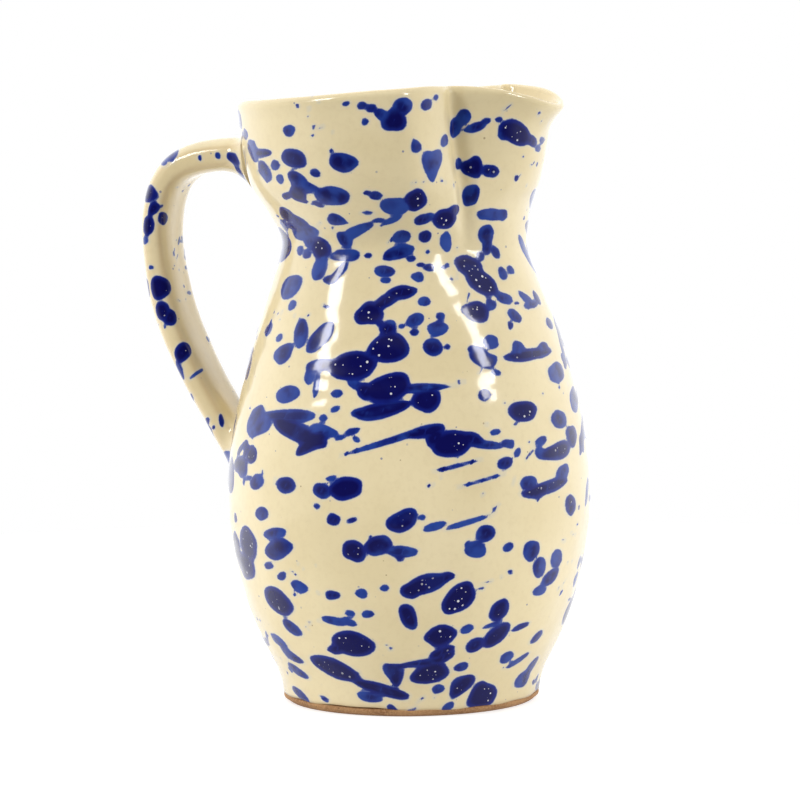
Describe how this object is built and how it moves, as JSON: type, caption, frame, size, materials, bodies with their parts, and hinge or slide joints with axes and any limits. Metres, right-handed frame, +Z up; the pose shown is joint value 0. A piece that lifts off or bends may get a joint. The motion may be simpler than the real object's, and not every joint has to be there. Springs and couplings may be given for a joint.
{
  "type": "ceramic pitcher",
  "caption": "Hand-thrown glazed pitcher with a narrow waist, a pinched pouring lip, a pulled strap handle and a bare clay foot.",
  "frame": {"origin": "centre of the flat underside of the foot, on the surface that the pitcher stands on", "axes": "+Z up along the throwing axis, +X towards the pouring spout with the handle on -X, +Y to the left of the spout; the XZ plane is the plane of symmetry"},
  "size_m": [0.1925, 0.151, 0.2542],
  "materials": {
    "cream_glaze": "glossy cream glaze with cobalt blue splashes thrown on before firing",
    "bare_clay": "unglazed red-brown earthenware, matt and slightly gritty"
  },
  "bodies": {
    "root": {"body": "cream_glaze", "foot": "bare_clay", "handle": "cream_glaze", "upper_handle_join": "cream_glaze", "lower_handle_join": "cream_glaze"}
  },
  "joints": []
}
